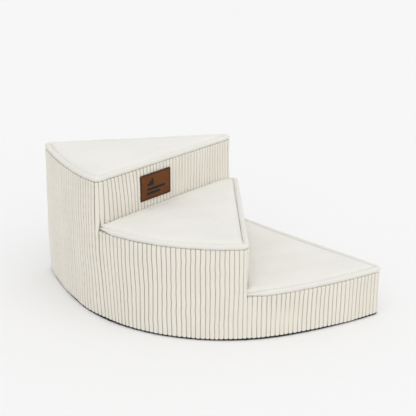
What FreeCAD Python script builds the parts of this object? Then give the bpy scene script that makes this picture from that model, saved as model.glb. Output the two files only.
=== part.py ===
import FreeCAD, Part
import math
import os
import Sketcher

# A soft stair for small pets: three wedge-shaped steps that turn about one upright edge at the back.
# Seen from above each level is a fan that starts at the left back edge: three wedges wide at the
# floor, two above the low step and one above the middle step.  X runs along the longest side, -Y is
# the front, +Z is up, and the origin is on the floor at the middle of the plan's bounding box.

doc = FreeCAD.newDocument("PetStair")
sheet = doc.addObject("Spreadsheet::Sheet", "Sizes")

driving = [
    # the fan
    ("reach", 500),             # back edge of the fan to the middle of the front
    ("backAngle", 30),          # how far each back edge is turned forward from the X axis, degrees
    ("wedge", 40),              # one step's share of the fan, degrees
    ("middleRadius", 377),      # middle arc of the front
    ("middleHalf", 40),         # half the angle that the middle arc spans, degrees
    ("sideRadius", 1003),       # the two flatter arcs beside it
    ("corner", 14),             # outside radius of every upright corner
    # heights and layers
    ("rise", 106),              # one step
    ("base", 2),                # non-slip panel under everything
    ("skin", 4),                # corduroy panel, ribs included
    ("rim", 8),                 # piped rim, and the plush panel that it frames
    ("padding", 20),            # soft foam under each tread
    ("seam", 0.5),              # gap beside a seam
    # grip dots
    ("dotRadius", 4),
    ("dotDepth", 0.6),
    ("dotPitch", 40),
    ("dotMargin", 10),          # panel edge to the nearest dot centre
    # leather label on the upper riser
    ("labelWidth", 101),
    ("labelTall", 60),
    ("labelThick", 1.6),
    ("labelCorner", 5),
    ("labelAlong", 306.5),        # its middle, out from the back edge of the fan
    ("labelUp", 262),           # its middle, above the floor
    # zip along the left back wall
    ("zipFrom", 45),            # nearer end, out from the back edge of the fan
    ("zipLong", 390),
    ("zipUp", 34),              # centre line above the floor
    ("zipHalf", 7),             # half the height of the slot in the wall
    ("coilHalf", 2),            # one row of the coil
    ("coilGap", 0.05),          # from the centre line to a row or a tape
    ("coilOut", 0.6),           # front of the coil, in from the wall's face
    ("tapeOut", 2),             # front of the tapes, in from the wall's face
    ("tapeThick", 1),
    ("stopLong", 3),
    ("sliderLong", 11),
    ("sliderHalf", 3.2),
    ("sliderWall", 1.05),
    ("sliderClear", 0.15),      # running clearance over the coil
    ("barRadius", 0.7),         # bar that the pull hangs on
    ("barOut", 2.5),            # its axis, out from the wall's face
    ("postHalf", 2),            # half the room between the bar's two posts
    ("eyeOuter", 1.5),
    ("eyeInner", 0.8),
    ("eyeHalf", 1.8),
    ("pullLong", 27),
    ("pullHalf", 3.5),
    ("pullThick", 1.2),
]
for row, (alias, value) in enumerate(driving, 1):
    sheet.set(f"A{row}", alias)
    sheet.set(f"B{row}", str(value))
    sheet.setAlias(f"B{row}", alias)
doc.recompute()
size = {alias: float(sheet.get(alias)) for alias, _ in driving}

apexBack = "(Sizes.reach + Sizes.corner * (1 / sin(1.5 * Sizes.wedge) - 1)) / 2"
sweepStart = "(180 + Sizes.backAngle)"


def heightOf(step):
    """Expression for the top of a step, 0 being the floor."""
    return f"{step} * Sizes.rise"


def bind(item, **expressions):
    for name, text in expressions.items():
        item.setExpression(name.replace("_", "."), str(text))
    return item


def place(item, turn="0", along="0", across="0", up="0"):
    """Set an object out from the back edge of the fan, turned about it, at a height."""
    item.Placement = FreeCAD.Placement(FreeCAD.Vector(), FreeCAD.Rotation(FreeCAD.Vector(0, 0, 1), 10))
    return bind(
        item,
        Placement_Rotation_Angle=f"({turn}) * 1 deg",
        Placement_Base_x=f"({along}) * cos({turn}) - ({across}) * sin({turn})",
        Placement_Base_y=f"{apexBack} + ({along}) * sin({turn}) + ({across}) * cos({turn})",
        Placement_Base_z=up,
    )


def polar(radius, degrees):
    return FreeCAD.Vector(radius * math.cos(math.radians(degrees)), radius * math.sin(math.radians(degrees)))


def lineMeetsArc(start, degrees, centre, radius):
    """The point where a ray from start leaves a circle."""
    way = polar(1, degrees)
    gap = start - centre
    half = gap.dot(way)
    return start + way * (-half + math.sqrt(half * half - gap.dot(gap) + radius * radius))


def arcBetween(centre, radius, start, end):
    """Arc geometry from one point to another, counter-clockwise."""
    circle = Part.Circle(centre, FreeCAD.Vector(0, 0, 1), radius)
    first = math.atan2(start.y - centre.y, start.x - centre.x)
    last = math.atan2(end.y - centre.y, end.x - centre.x)
    return Part.ArcOfCircle(circle, first, last)


def insetOf(inset):
    """Value and expression of an inset: an alias, an alias with a minus sign, or nothing."""
    if not inset:
        return 0, "0"
    sign = -1 if inset.startswith("-") else 1
    alias = inset.lstrip("-")
    return sign * size[alias], f"({sign} * Sizes.{alias})"


def outline(body, steps, inset):
    """Sketch one level's fan, drawn in by an inset: two straight back edges, and a front of a middle
    arc with a flatter arc, tangent to it, on one side or on both."""
    d, inText = insetOf(inset)
    startAngle = 180 + size["backAngle"]
    endAngle = startAngle + steps * size["wedge"]
    halfFan = steps * size["wedge"] / 2
    apex = polar(d / math.sin(math.radians(halfFan)), startAngle + halfFan)
    middle = FreeCAD.Vector(0, size["middleRadius"] - size["reach"])
    middleR, sideR = size["middleRadius"] - d, size["sideRadius"] - d
    leftJoin = middle + polar(middleR, 270 - size["middleHalf"])
    leftCentre = middle + polar(size["sideRadius"] - size["middleRadius"], 90 - size["middleHalf"])
    leftEnd = lineMeetsArc(apex, startAngle, leftCentre, sideR)

    sketch = body.newObject("Sketcher::SketchObject", body.Name + "Outline")
    plane = [f for f in body.Origin.OriginFeatures if f.Role == "XY_Plane"][0]
    sketch.AttachmentSupport = (plane, [""])
    sketch.MapMode = "FlatFace"
    shapes = [Part.LineSegment(apex, leftEnd), arcBetween(leftCentre, sideR, leftEnd, leftJoin)]
    if steps == 3:
        rightJoin = FreeCAD.Vector(-leftJoin.x, leftJoin.y)
        rightCentre = FreeCAD.Vector(-leftCentre.x, leftCentre.y)
        rightEnd = FreeCAD.Vector(-leftEnd.x, leftEnd.y)
        shapes.append(arcBetween(middle, middleR, leftJoin, rightJoin))
        shapes.append(arcBetween(rightCentre, sideR, rightJoin, rightEnd))
    else:
        rightEnd = lineMeetsArc(apex, endAngle, middle, middleR)
        shapes.append(arcBetween(middle, middleR, leftJoin, rightEnd))
    shapes.append(Part.LineSegment(rightEnd, apex))
    sketch.addGeometry(shapes, False)

    start, end, mid, root = 1, 2, 3, -1
    last = len(shapes) - 1
    rules = [
        Sketcher.Constraint("Coincident", 0, end, 1, start),
        Sketcher.Constraint("Tangent", 1, end, 2, start),
        Sketcher.Constraint("Coincident", last - 1, end, last, start),
        Sketcher.Constraint("Coincident", last, end, 0, start),
        Sketcher.Constraint("PointOnObject", 2, mid, -2),
    ]
    if steps == 3:
        rules.append(Sketcher.Constraint("Tangent", 2, end, 3, start))
    sketch.addConstraint(rules)

    halfText = f"({steps} * Sizes.wedge / 2)"
    apexOut = f"{inText} / sin({halfText})"
    apexTurn = f"({sweepStart} + {halfText})"
    middleText = f"(Sizes.middleRadius - {inText})"
    sideText = f"Sizes.sideRadius - {inText}"
    joinText = f"{middleText} * sin(Sizes.middleHalf)"
    endText = f"({sweepStart} + 2 * {halfText} - 180) * 1 deg"
    sized = [
        ("DistanceX", (root, 1, 0, start), apex.x, f"{apexOut} * cos({apexTurn})"),
        ("DistanceY", (root, 1, 0, start), apex.y, f"{apexOut} * sin({apexTurn})"),
        ("DistanceY", (root, 1, 2, mid), middle.y, "Sizes.middleRadius - Sizes.reach"),
        ("Radius", (2,), middleR, middleText),
        ("Radius", (1,), sideR, sideText),
        ("DistanceX", (root, 1, 1, end), leftJoin.x, f"-{joinText}"),
        ("Angle", (0,), math.radians(startAngle), f"{sweepStart} * 1 deg"),
        ("Angle", (last,), math.radians(endAngle - 180), endText),
    ]
    if steps == 3:
        sized.append(("Radius", (3,), sideR, sideText))
        sized.append(("DistanceX", (root, 1, 3, start), -leftJoin.x, joinText))
    for kind, where, value, text in sized:
        number = sketch.addConstraint(Sketcher.Constraint(kind, *where, value))
        sketch.setExpression(f"Constraints[{number}]", text)
    return sketch, [apex, leftEnd, rightEnd], inText


def fan(name, steps, inset, bottom, top):
    """A level as a body: its outline padded up from bottom to top, with its upright corners rounded."""
    body = doc.addObject("PartDesign::Body", name)
    sketch, corners, inText = outline(body, steps, inset)
    pad = body.newObject("PartDesign::Pad", name + "Pad")
    pad.Profile = sketch
    bind(pad, Length=f"({top}) - ({bottom})")
    doc.recompute()

    def standsAt(edge, corner):
        ends = [v.Point for v in edge.Vertexes]
        return len(ends) == 2 and all(math.hypot(p.x - corner.x, p.y - corner.y) < 0.1 for p in ends)

    upright = [f"Edge{i}" for i, e in enumerate(pad.Shape.Edges, 1) if any(standsAt(e, c) for c in corners)]
    rounding = body.newObject("PartDesign::Fillet", name + "Corners")
    rounding.Base = (pad, upright)
    bind(rounding, Radius=f"Sizes.corner - {inText}")
    doc.recompute()
    place(body, up=bottom)
    doc.recompute()
    return body


def box(name, long, wide, tall, **where):
    """A block; its length runs out from the back edge of the fan, its width across that."""
    item = doc.addObject("Part::Box", name)
    bind(item, Length=long, Width=wide, Height=tall)
    return place(item, **where)


def wedgeOf(name, step):
    """The upright wedge of plan that belongs to a step, the highest being 3."""
    item = doc.addObject("Part::Cylinder", name)
    bind(item, Radius="2 * Sizes.reach", Height="4 * Sizes.rise", Angle="Sizes.wedge * 1 deg")
    return place(item, turn=f"{sweepStart} + {3 - step} * Sizes.wedge")


def cut(name, base, *tools):
    for number, tool in enumerate(tools, 1):
        item = doc.addObject("Part::Cut", name if number == len(tools) else f"{name}Less{number}")
        item.Base = base
        item.Tool = tool
        base = item
    return base


def common(name, *shapes):
    item = doc.addObject("Part::MultiCommon", name)
    item.Shapes = list(shapes)
    return item


def fuse(name, *shapes):
    item = doc.addObject("Part::MultiFuse", name)
    item.Shapes = list(shapes)
    return item


nodes = {}


def node(label, item):
    """Name a finished piece; its label is also its file's name."""
    item.Label = label
    nodes[label] = item
    return item


# Level 1 is the whole fan, level 2 stops at the low step and level 3 at the middle one.
levels = {1: 3, 2: 2, 3: 1}
names = {1: "low", 2: "middle", 3: "top"}
seamAt = {level: f"({heightOf(level)} - Sizes.rim)" for level in levels}
padAt = {level: f"({heightOf(level)} - Sizes.rim - Sizes.padding)" for level in levels}
floorOf = {1: "Sizes.base", 2: seamAt[1], 3: seamAt[2]}


# Foam core: three slabs glued on each other, each with a softer pad on the step that it leaves free.
slabFloor = {1: "Sizes.base", 2: padAt[1], 3: padAt[2]}
for level, steps in levels.items():
    where = names[level]
    slab = fan(f"slab{level}", steps, "skin", slabFloor[level], padAt[level])
    node(f"foam_{where}_slab", slab)
    pad = fan(f"pad{level}", steps, "skin", padAt[level], seamAt[level])
    if level < 3:
        above = fan(f"padRoom{level}", steps - 1, "skin", padAt[level], seamAt[level])
        pad = cut(f"padFree{level}", pad, above)
    node(f"tread_pad_{where}", pad)


# Plush panel of each tread, inside the piped rim that follows the tread's free edges.
for level, steps in levels.items():
    where = names[level]
    panel = fan(f"panel{level}", steps, "rim", seamAt[level], heightOf(level))
    rimOuter = fan(f"rimOuter{level}", steps, 0, seamAt[level], heightOf(level))
    rimInner = fan(f"rimInner{level}", steps, "rim", seamAt[level], heightOf(level))
    rim = cut(f"rimRing{level}", rimOuter, rimInner)
    if level < 3:
        above = fan(f"treadRoom{level}", steps - 1, "-seam", seamAt[level], heightOf(level))
        panel = cut(f"panelFree{level}", panel, above)
        rim = cut(f"rimFree{level}", rim, above)
    node(f"tread_panel_{where}", panel)
    node(f"tread_rim_{where}", rim)


# Corduroy sides: the ring between two fans at each level, shared out between the sewn panels.
ring = {}
for level, steps in levels.items():
    outer = fan(f"skinOuter{level}", steps, 0, floorOf[level], seamAt[level])
    inner = fan(f"skinInner{level}", steps, "skin", floorOf[level], seamAt[level])
    ring[level] = cut(f"ring{level}", outer, inner)

front = doc.addObject("Part::Box", "front")
bind(front, Length="4 * Sizes.reach", Width="2 * Sizes.reach", Height="4 * Sizes.rise")
front.Placement = FreeCAD.Placement()
bind(front, Placement_Base_x="-2 * Sizes.reach", Placement_Base_y=f"{apexBack} - 2.2 * Sizes.reach")
leftSide = box("leftSide", "2 * Sizes.reach", "Sizes.skin", "4 * Sizes.rise", turn=sweepStart)
edgeSide = {
    level: box(
        f"edgeSide{level}", "2 * Sizes.reach", "Sizes.skin", "4 * Sizes.rise",
        turn=f"{sweepStart} + {steps} * Sizes.wedge", across="-Sizes.skin",
    )
    for level, steps in levels.items()
}

wallPieces = {step: [] for step in levels}
backPieces = []
edgePanels = {}
for level in levels:
    walls = []
    for step in range(level, 4):
        share = common(f"share{level}{step}", ring[level], wedgeOf(f"wedge{level}{step}", step), front)
        walls.append(cut(f"wall{level}{step}", share, leftSide, edgeSide[level]))
        wallPieces[step].append(walls[-1])
    backPieces.append(common(f"back{level}", ring[level], leftSide))
    edgePanels[level] = cut(f"edge{level}", ring[level], leftSide, *walls)

node("wall_low", wallPieces[1][0])
node("wall_middle", fuse("wallMiddle", *wallPieces[2]))
node("wall_top", fuse("wallTop", *wallPieces[3]))
node("back_panel_right", edgePanels[1])
node("riser_lower", edgePanels[2])
node("riser_upper", edgePanels[3])
leftBack = fuse("leftBack", *backPieces)


# Zip along the foot of the left back wall. Its pieces are given out from the back edge of the fan,
# in from the wall's outer face (across), and up from the floor.
def zipBlock(name, along, long, across, deep, low, high):
    """A block in the zip's own directions, low and high being counted from its centre line."""
    return box(
        name, long, deep, f"({high}) - ({low})",
        turn=sweepStart, along=along, across=across, up=f"Sizes.zipUp + ({low})",
    )


slot = zipBlock("zipSlot", "Sizes.zipFrom", "Sizes.zipLong", "-1", "Sizes.skin + 2",
                "-Sizes.zipHalf", "Sizes.zipHalf")
node("back_panel_left", cut("leftBackOpen", leftBack, slot))

rows = {"upper": ("Sizes.coilGap", "Sizes.coilHalf", "Sizes.zipHalf"),
        "lower": ("-Sizes.coilHalf", "-Sizes.coilGap", "-Sizes.zipHalf")}
for side, (low, high, edge) in rows.items():
    tapeLow, tapeHigh = (low, edge) if side == "upper" else (edge, high)
    tape = zipBlock(f"tape{side}", "Sizes.zipFrom", "Sizes.zipLong", "Sizes.tapeOut",
                    "Sizes.tapeThick", tapeLow, tapeHigh)
    node(f"zip_tape_{side}", tape)
    coil = zipBlock(f"coil{side}", "Sizes.zipFrom + Sizes.stopLong", "Sizes.zipLong - 2 * Sizes.stopLong",
                    "Sizes.coilOut", "Sizes.tapeOut - Sizes.coilOut", low, high)
    node(f"zip_coil_{side}", coil)

stopEnds = ["Sizes.zipFrom", "Sizes.zipFrom + Sizes.zipLong - Sizes.stopLong"]
stops = [
    zipBlock(f"stop{number}", along, "Sizes.stopLong", "Sizes.coilOut", "Sizes.tapeOut - Sizes.coilOut",
             "-Sizes.coilHalf", "Sizes.coilHalf")
    for number, along in enumerate(stopEnds)
]
node("zip_stops", fuse("stops", *stops))

# The slider stands at the end away from the fan's back edge: a plate over the coil, a flange down
# each side of it, and two posts with the bar that the pull hangs on.
sliderFrom = "Sizes.zipFrom + Sizes.zipLong - Sizes.stopLong - Sizes.sliderLong - 1"
plateBack = "Sizes.coilOut - Sizes.sliderClear"
plate = zipBlock("sliderPlate", sliderFrom, "Sizes.sliderLong", f"{plateBack} - Sizes.sliderWall",
                 "Sizes.sliderWall", "-Sizes.sliderHalf", "Sizes.sliderHalf")
flangeIn = "(Sizes.coilHalf + Sizes.sliderClear)"
flangeDeep = "Sizes.tapeOut - Sizes.sliderClear - (Sizes.coilOut - Sizes.sliderClear)"
flanges = [
    zipBlock("sliderFlangeUpper", sliderFrom, "Sizes.sliderLong", plateBack, flangeDeep,
             flangeIn, "Sizes.sliderHalf"),
    zipBlock("sliderFlangeLower", sliderFrom, "Sizes.sliderLong", plateBack, flangeDeep,
             "-Sizes.sliderHalf", f"-{flangeIn}"),
]
barAlong = f"({sliderFrom} + Sizes.sliderLong / 2)"
postDeep = f"Sizes.barOut + Sizes.barRadius + ({plateBack} - Sizes.sliderWall)"
posts = [
    zipBlock(f"sliderPost{number}", f"{barAlong} - Sizes.barRadius", "2 * Sizes.barRadius",
             "-Sizes.barOut - Sizes.barRadius", postDeep, low, high)
    for number, (low, high) in enumerate(
        [("Sizes.postHalf", "Sizes.sliderHalf"), ("-Sizes.sliderHalf", "-Sizes.postHalf")]
    )
]


def pin(name, radius, half):
    """An upright cylinder on the bar's axis."""
    item = doc.addObject("Part::Cylinder", name)
    bind(item, Radius=radius, Height=f"2 * {half}")
    return place(item, turn=sweepStart, along=barAlong, across="-Sizes.barOut", up=f"Sizes.zipUp - {half}")


bar = pin("sliderBar", "Sizes.barRadius", "Sizes.postHalf")
node("zip_slider", fuse("slider", plate, *flanges, *posts, bar))

# The pull: an eye round the bar, a neck between the posts and a wider tab, flat against the wall.
neckLong = "(Sizes.eyeOuter + 2)"
neck = zipBlock("pullNeck", f"{barAlong} - {neckLong}", neckLong, "-Sizes.barOut - Sizes.pullThick / 2",
                "Sizes.pullThick", "-Sizes.eyeHalf", "Sizes.eyeHalf")
tab = zipBlock("pullTab", f"{barAlong} - Sizes.pullLong", f"Sizes.pullLong - {neckLong}",
               "-Sizes.barOut - Sizes.pullThick / 2", "Sizes.pullThick", "-Sizes.pullHalf", "Sizes.pullHalf")
eye = pin("pullEye", "Sizes.eyeOuter", "Sizes.eyeHalf")
hole = pin("pullHole", "Sizes.eyeInner", "(2 * Sizes.eyeHalf)")
node("zip_pull", cut("pull", fuse("pullSolid", neck, tab, eye), hole))


# Leather label, flat on the upper riser.
def roundedLabel():
    body = doc.addObject("PartDesign::Body", "label")
    sketch = body.newObject("Sketcher::SketchObject", "labelOutline")
    sketch.AttachmentSupport = ([f for f in body.Origin.OriginFeatures if f.Role == "XY_Plane"][0], [""])
    sketch.MapMode = "FlatFace"
    wide, thick = size["labelWidth"], size["labelThick"]
    ends = [FreeCAD.Vector(-wide / 2, 0), FreeCAD.Vector(wide / 2, 0),
            FreeCAD.Vector(wide / 2, thick), FreeCAD.Vector(-wide / 2, thick)]
    sketch.addGeometry([Part.LineSegment(ends[i], ends[(i + 1) % 4]) for i in range(4)], False)
    sketch.addConstraint([Sketcher.Constraint("Coincident", i, 2, (i + 1) % 4, 1) for i in range(4)])
    sketch.addConstraint([Sketcher.Constraint("Horizontal", i) for i in (0, 2)])
    sketch.addConstraint([Sketcher.Constraint("Vertical", i) for i in (1, 3)])
    sketch.addConstraint(Sketcher.Constraint("Symmetric", 0, 1, 0, 2, -1, 1))
    sized = (("DistanceX", 0, wide, "labelWidth"), ("DistanceY", 1, thick, "labelThick"))
    for kind, line, value, alias in sized:
        number = sketch.addConstraint(Sketcher.Constraint(kind, line, 1, line, 2, value))
        sketch.setExpression(f"Constraints[{number}]", f"Sizes.{alias}")
    pad = body.newObject("PartDesign::Pad", "labelPad")
    pad.Profile = sketch
    bind(pad, Length="Sizes.labelTall")
    doc.recompute()
    across = [
        f"Edge{i}" for i, e in enumerate(pad.Shape.Edges, 1)
        if abs(e.BoundBox.YLength - thick) < 1e-6 and e.BoundBox.XLength + e.BoundBox.ZLength < 1e-6
    ]
    rounding = body.newObject("PartDesign::Fillet", "labelCorners")
    rounding.Base = (pad, across)
    bind(rounding, Radius="Sizes.labelCorner")
    return place(body, turn=f"{sweepStart} + Sizes.wedge", along="Sizes.labelAlong",
                 up="Sizes.labelUp - Sizes.labelTall / 2")


node("label_patch", roundedLabel())


# Non-slip panel under the stair, with grip dots set flush into it on a square grid.
def gripDots():
    """Every dot of the grid that lies wholly inside the panel, as separate solids."""
    outer = fan("dotRoom", 3, "dotMargin", "0", "Sizes.base")
    pitch = size["dotPitch"]
    dots = []
    columns = int(size["reach"] / pitch)
    for column in range(-columns, columns + 1):
        for line in range(-columns, columns + 1):
            at = FreeCAD.Vector(column * pitch, line * pitch, 0)
            if outer.Shape.isInside(at + FreeCAD.Vector(0, 0, 1), 1e-6, False):
                dots.append(Part.makeCylinder(size["dotRadius"], size["dotDepth"], at))
    item = doc.addObject("Part::Feature", "dots")
    item.Shape = Part.makeCompound(dots)
    print("grip dots", len(dots))
    return item


dots = node("grip_dots", gripDots())
node("base_panel", cut("basePanel", fan("baseSheet", 3, 0, "0", "Sizes.base"), dots))


# Check everything before it is written.
doc.recompute()
failed = [item.Name for item in doc.Objects if {"Invalid", "Error"} & set(item.State)]
if failed:
    raise RuntimeError(f"failed objects: {failed}")
os.makedirs("parts", exist_ok=True)
for label, item in nodes.items():
    shape = item.Shape
    if shape.isNull() or not shape.isValid() or not shape.Solids:
        raise RuntimeError(f"{label} has no valid shape")
    print(f"{label}: {len(shape.Solids)} solid(s), {shape.Volume / 1000:.1f} cm3")
    shape.exportStep(f"parts/{label}.step")
print(len(nodes), "nodes")
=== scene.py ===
import math

import bmesh
import bpy
import numpy as np
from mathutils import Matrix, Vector


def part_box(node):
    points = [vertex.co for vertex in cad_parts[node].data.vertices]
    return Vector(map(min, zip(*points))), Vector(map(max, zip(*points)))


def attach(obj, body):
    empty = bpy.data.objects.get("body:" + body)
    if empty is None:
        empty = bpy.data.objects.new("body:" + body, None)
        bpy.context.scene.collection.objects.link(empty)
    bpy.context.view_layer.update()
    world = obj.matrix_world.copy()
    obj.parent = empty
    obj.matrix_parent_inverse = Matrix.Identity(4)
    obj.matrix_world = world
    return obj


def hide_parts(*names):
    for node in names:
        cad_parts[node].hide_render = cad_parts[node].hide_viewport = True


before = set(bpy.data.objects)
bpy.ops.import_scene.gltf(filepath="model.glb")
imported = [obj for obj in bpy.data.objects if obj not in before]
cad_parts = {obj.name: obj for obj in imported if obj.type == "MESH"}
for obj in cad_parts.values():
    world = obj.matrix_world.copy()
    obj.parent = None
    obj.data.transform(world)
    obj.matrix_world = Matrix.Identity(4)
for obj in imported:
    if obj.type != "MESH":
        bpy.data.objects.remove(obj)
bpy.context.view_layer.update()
print("frame loaded")

# The fan that every level is cut from, in metres and degrees.
fan = {
    "reach": 0.500,          # back edge of the fan to the middle of the front
    "backAngle": 30,
    "wedge": 40,
    "middleRadius": 0.377,
    "middleHalf": 40,
    "sideRadius": 1.003,
    "corner": 0.014,
}
tipSetback = fan["corner"] * (1 / math.sin(math.radians(1.5 * fan["wedge"])) - 1)
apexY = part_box("base_panel")[1][1] + tipSetback
stepName = {1: "low", 2: "middle", 3: "top"}
stepsOf = {1: 3, 2: 2, 3: 1}     # wedges in each level's fan
treadTop = {level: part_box(f"tread_panel_{name}")[1][2] for level, name in stepName.items()}
rimTall = treadTop[1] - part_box("tread_panel_low")[0][2]
seamAt = {level: treadTop[level] - rimTall for level in treadTop}
skinDeep = 0.004                 # thickness of the corduroy's backing


def polar(radius, degrees):
    # radius times the cosine and the sine of the bearing
    return np.array([radius * math.cos(math.radians(degrees)), radius * math.sin(math.radians(degrees))])


def bearing(vector):
    return math.degrees(math.atan2(vector[1], vector[0])) % 360


def rayMeetsCircle(start, degrees, centre, radius):
    # distance t solves |start + t * way - centre| = radius
    way = polar(1, degrees)
    gap = start - centre
    half = gap @ way
    return start + way * (-half + math.sqrt(half * half - gap @ gap + radius * radius))


def levelPath(steps):
    # A rounded fan is a sharp fan drawn in by the corner radius, then grown by it again: straight
    # runs and arcs keep their directions, and each corner becomes a turn of the outward normal.
    # The table holds the sharp fan's point and the normal's bearing against length along the outside.
    c = fan["corner"]
    startAngle = 180 + fan["backAngle"]
    endAngle = startAngle + steps * fan["wedge"]
    middle = np.array([0, fan["middleRadius"] - fan["reach"]])
    leftCentre = middle + polar(fan["sideRadius"] - fan["middleRadius"], 90 - fan["middleHalf"])
    rightCentre = leftCentre * [-1, 1]
    middleR, sideR = fan["middleRadius"] - c, fan["sideRadius"] - c
    apex = polar(c / math.sin(math.radians(steps * fan["wedge"] / 2)), startAngle + steps * fan["wedge"] / 2)
    leftEnd = rayMeetsCircle(apex, startAngle, leftCentre, sideR)
    leftTurn, middleTurn = 270 - fan["middleHalf"], 270 + fan["middleHalf"]
    runs = [("line", apex, leftEnd, startAngle - 90)]
    runs.append(("turn", leftEnd, startAngle - 90, bearing(leftEnd - leftCentre)))
    runs.append(("arc", leftCentre, sideR, bearing(leftEnd - leftCentre), leftTurn))
    if steps == 3:
        rightEnd = leftEnd * [-1, 1]
        rightStart = bearing(rightEnd - rightCentre)
        runs.append(("arc", middle, middleR, leftTurn, middleTurn))
        runs.append(("arc", rightCentre, sideR, middleTurn, rightStart))
    else:
        rightEnd = rayMeetsCircle(apex, endAngle, middle, middleR)
        rightStart = bearing(rightEnd - middle)
        runs.append(("arc", middle, middleR, leftTurn, rightStart))
    runs.append(("turn", rightEnd, rightStart, endAngle + 90))
    runs.append(("line", rightEnd, apex, endAngle + 90))
    runs.append(("turn", apex, endAngle + 90, startAngle + 270))

    cores, normals = [], []
    for kind, *facts in runs:
        t = np.linspace(0, 1, 400)[:, None]
        if kind == "line":
            core = facts[0] * (1 - t) + facts[1] * t
            turn = np.full(400, float(facts[2]))
        elif kind == "turn":
            core = np.repeat(facts[0][None], 400, 0)
            turn = facts[1] + (facts[2] - facts[1]) * t[:, 0]
        else:
            turn = facts[2] + (facts[3] - facts[2]) * t[:, 0]
            core = facts[0] + facts[1] * np.stack([np.cos(np.radians(turn)), np.sin(np.radians(turn))], 1)
        cores.append(core)
        normals.append(turn)
    core, turn = np.concatenate(cores), np.radians(np.concatenate(normals))
    outside = core + c * np.stack([np.cos(turn), np.sin(turn)], 1)
    length = np.concatenate([[0], np.cumsum(np.hypot(*np.diff(outside, axis=0).T))])
    keep = np.concatenate([[True], np.diff(length) > 1e-9])
    table = {"s": length[keep], "x": core[keep, 0], "y": core[keep, 1] + apexY, "turn": turn[keep]}
    table["s"] = table["s"] - length[399]      # zero where the left corner's rounding starts
    table["total"] = length[-1]
    return table


paths = {level: levelPath(steps) for level, steps in stepsOf.items()}


def along(level, s):
    # core point and outward normal at lengths s, going round again past the end
    table = paths[level]
    first = table["s"][0]
    s = first + np.mod(s - first, table["total"])
    turn = np.interp(s, table["s"], table["turn"])
    return np.interp(s, table["s"], table["x"]), np.interp(s, table["s"], table["y"]), np.cos(turn), np.sin(turn)


def outsideAt(level, s, inset=0.0):
    # core point + normal * (corner radius - inset)
    x, y, nx, ny = along(level, np.asarray(s, float))
    out = fan["corner"] - inset
    return x + nx * out, y + ny * out


def lengthAtBearing(level, degrees, low, high):
    # where the front of a level crosses a ray from the fan's back edge
    s = np.linspace(low, high, 4000)
    x, y = outsideAt(level, s)
    seen = np.degrees(np.arctan2(y - apexY, x)) % 360
    return float(np.interp(degrees, seen, s))


upperSeam = lengthAtBearing(1, 250, 0.05, 0.6)       # foot of the upper riser, on the front
lowerSeam = lengthAtBearing(1, 290, 0.3, 0.9) - 0.002
rightCorner = paths[1]["s"][np.searchsorted(paths[1]["turn"], math.radians(420)) - 1]
roundEnd = {level: paths[level]["s"][0] + paths[level]["total"] for level in paths}


def tipMiddle(level):
    # the middle of the rounding at the back edge of the fan, as a length past the right side
    half = fan["corner"] * math.radians(180 - stepsOf[level] * fan["wedge"]) / 2
    return roundEnd[level] - half


# Smooth repeatable unevenness: a sum of sines in two directions.
def ripple(u, v, scaleU, scaleV, seed, count=6):
    rng = np.random.default_rng(seed)
    total = 0
    for _ in range(count):
        a, b = rng.normal(size=2)
        phase = rng.uniform(0, 2 * math.pi)
        total = total + np.sin(a * u / scaleU * 2 * math.pi + b * v / scaleV * 2 * math.pi + phase)
    return total / math.sqrt(count / 2)


def ease(value, low, high):
    # a smooth step from 0 to 1: t^2 (3 - 2 t)
    t = np.clip((value - low) / (high - low), 0, 1)
    return t * t * (3 - 2 * t)


# Shader helpers.
class Socket:
    def __init__(self, recipe, socket):
        self.recipe = recipe
        self.socket = socket

    def maths(self, operation, *values):
        return self.recipe.add("ShaderNodeMath", {"operation": operation}, dict(enumerate(values)))

    def __add__(self, other):
        return self.maths("ADD", self, other)

    def __sub__(self, other):
        return self.maths("SUBTRACT", self, other)

    def __rsub__(self, other):
        return self.maths("SUBTRACT", other, self)

    def __mul__(self, other):
        return self.maths("MULTIPLY", self, other)

    __radd__ = __add__
    __rmul__ = __mul__


class Recipe:
    def __init__(self, name, roughness=0.8, **constants):
        self.material = bpy.data.materials.new(name)
        self.material.use_nodes = True
        self.tree = self.material.node_tree
        self.surface = self.tree.nodes["Principled BSDF"]
        self.surface.inputs["Roughness"].default_value = roughness
        for key, value in constants.items():
            self.surface.inputs[key.replace("_", " ")].default_value = value
        self.place = self.add("ShaderNodeTexCoord", {}, {}, "Object")

    def feed(self, socket, value):
        if isinstance(value, Socket):
            self.tree.links.new(value.socket, socket)
        else:
            socket.default_value = value

    def add(self, kind, settings, inputs, output=0):
        node = self.tree.nodes.new(kind)
        for key, value in settings.items():
            setattr(node, key, value)
        for key, value in inputs.items():
            self.feed(node.inputs[key], value)
        return Socket(self, node.outputs[output])

    def noise(self, scale, detail=3.0, roughness=0.6, where=None):
        return self.add("ShaderNodeTexNoise", {}, {
            "Vector": where or self.place, "Scale": scale, "Detail": detail, "Roughness": roughness})

    def stretched(self, scales):
        return self.add("ShaderNodeMapping", {}, {"Vector": self.place, "Scale": scales})

    def attribute(self, name):
        return self.add("ShaderNodeAttribute", {"attribute_name": name}, {}, "Fac")

    def mix(self, factor, first, second):
        # plain colours get an alpha of 1; the inputs are a colour Mix node's factor, A and B
        first, second = ((*v, 1) if isinstance(v, tuple) else v for v in (first, second))
        return self.add("ShaderNodeMix", {"data_type": "RGBA"}, {0: factor, 6: first, 7: second}, 2)

    def between(self, value, low, high):
        return self.add("ShaderNodeMapRange", {"clamp": True}, {0: value, 1: low, 2: high, 3: 0.0, 4: 1.0})

    def colour(self, value):
        self.feed(self.surface.inputs["Base Color"], value)

    def bump(self, height, distance):
        normal = self.add("ShaderNodeBump", {}, {"Height": height, "Distance": distance})
        self.feed(self.surface.inputs["Normal"], normal)


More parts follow.
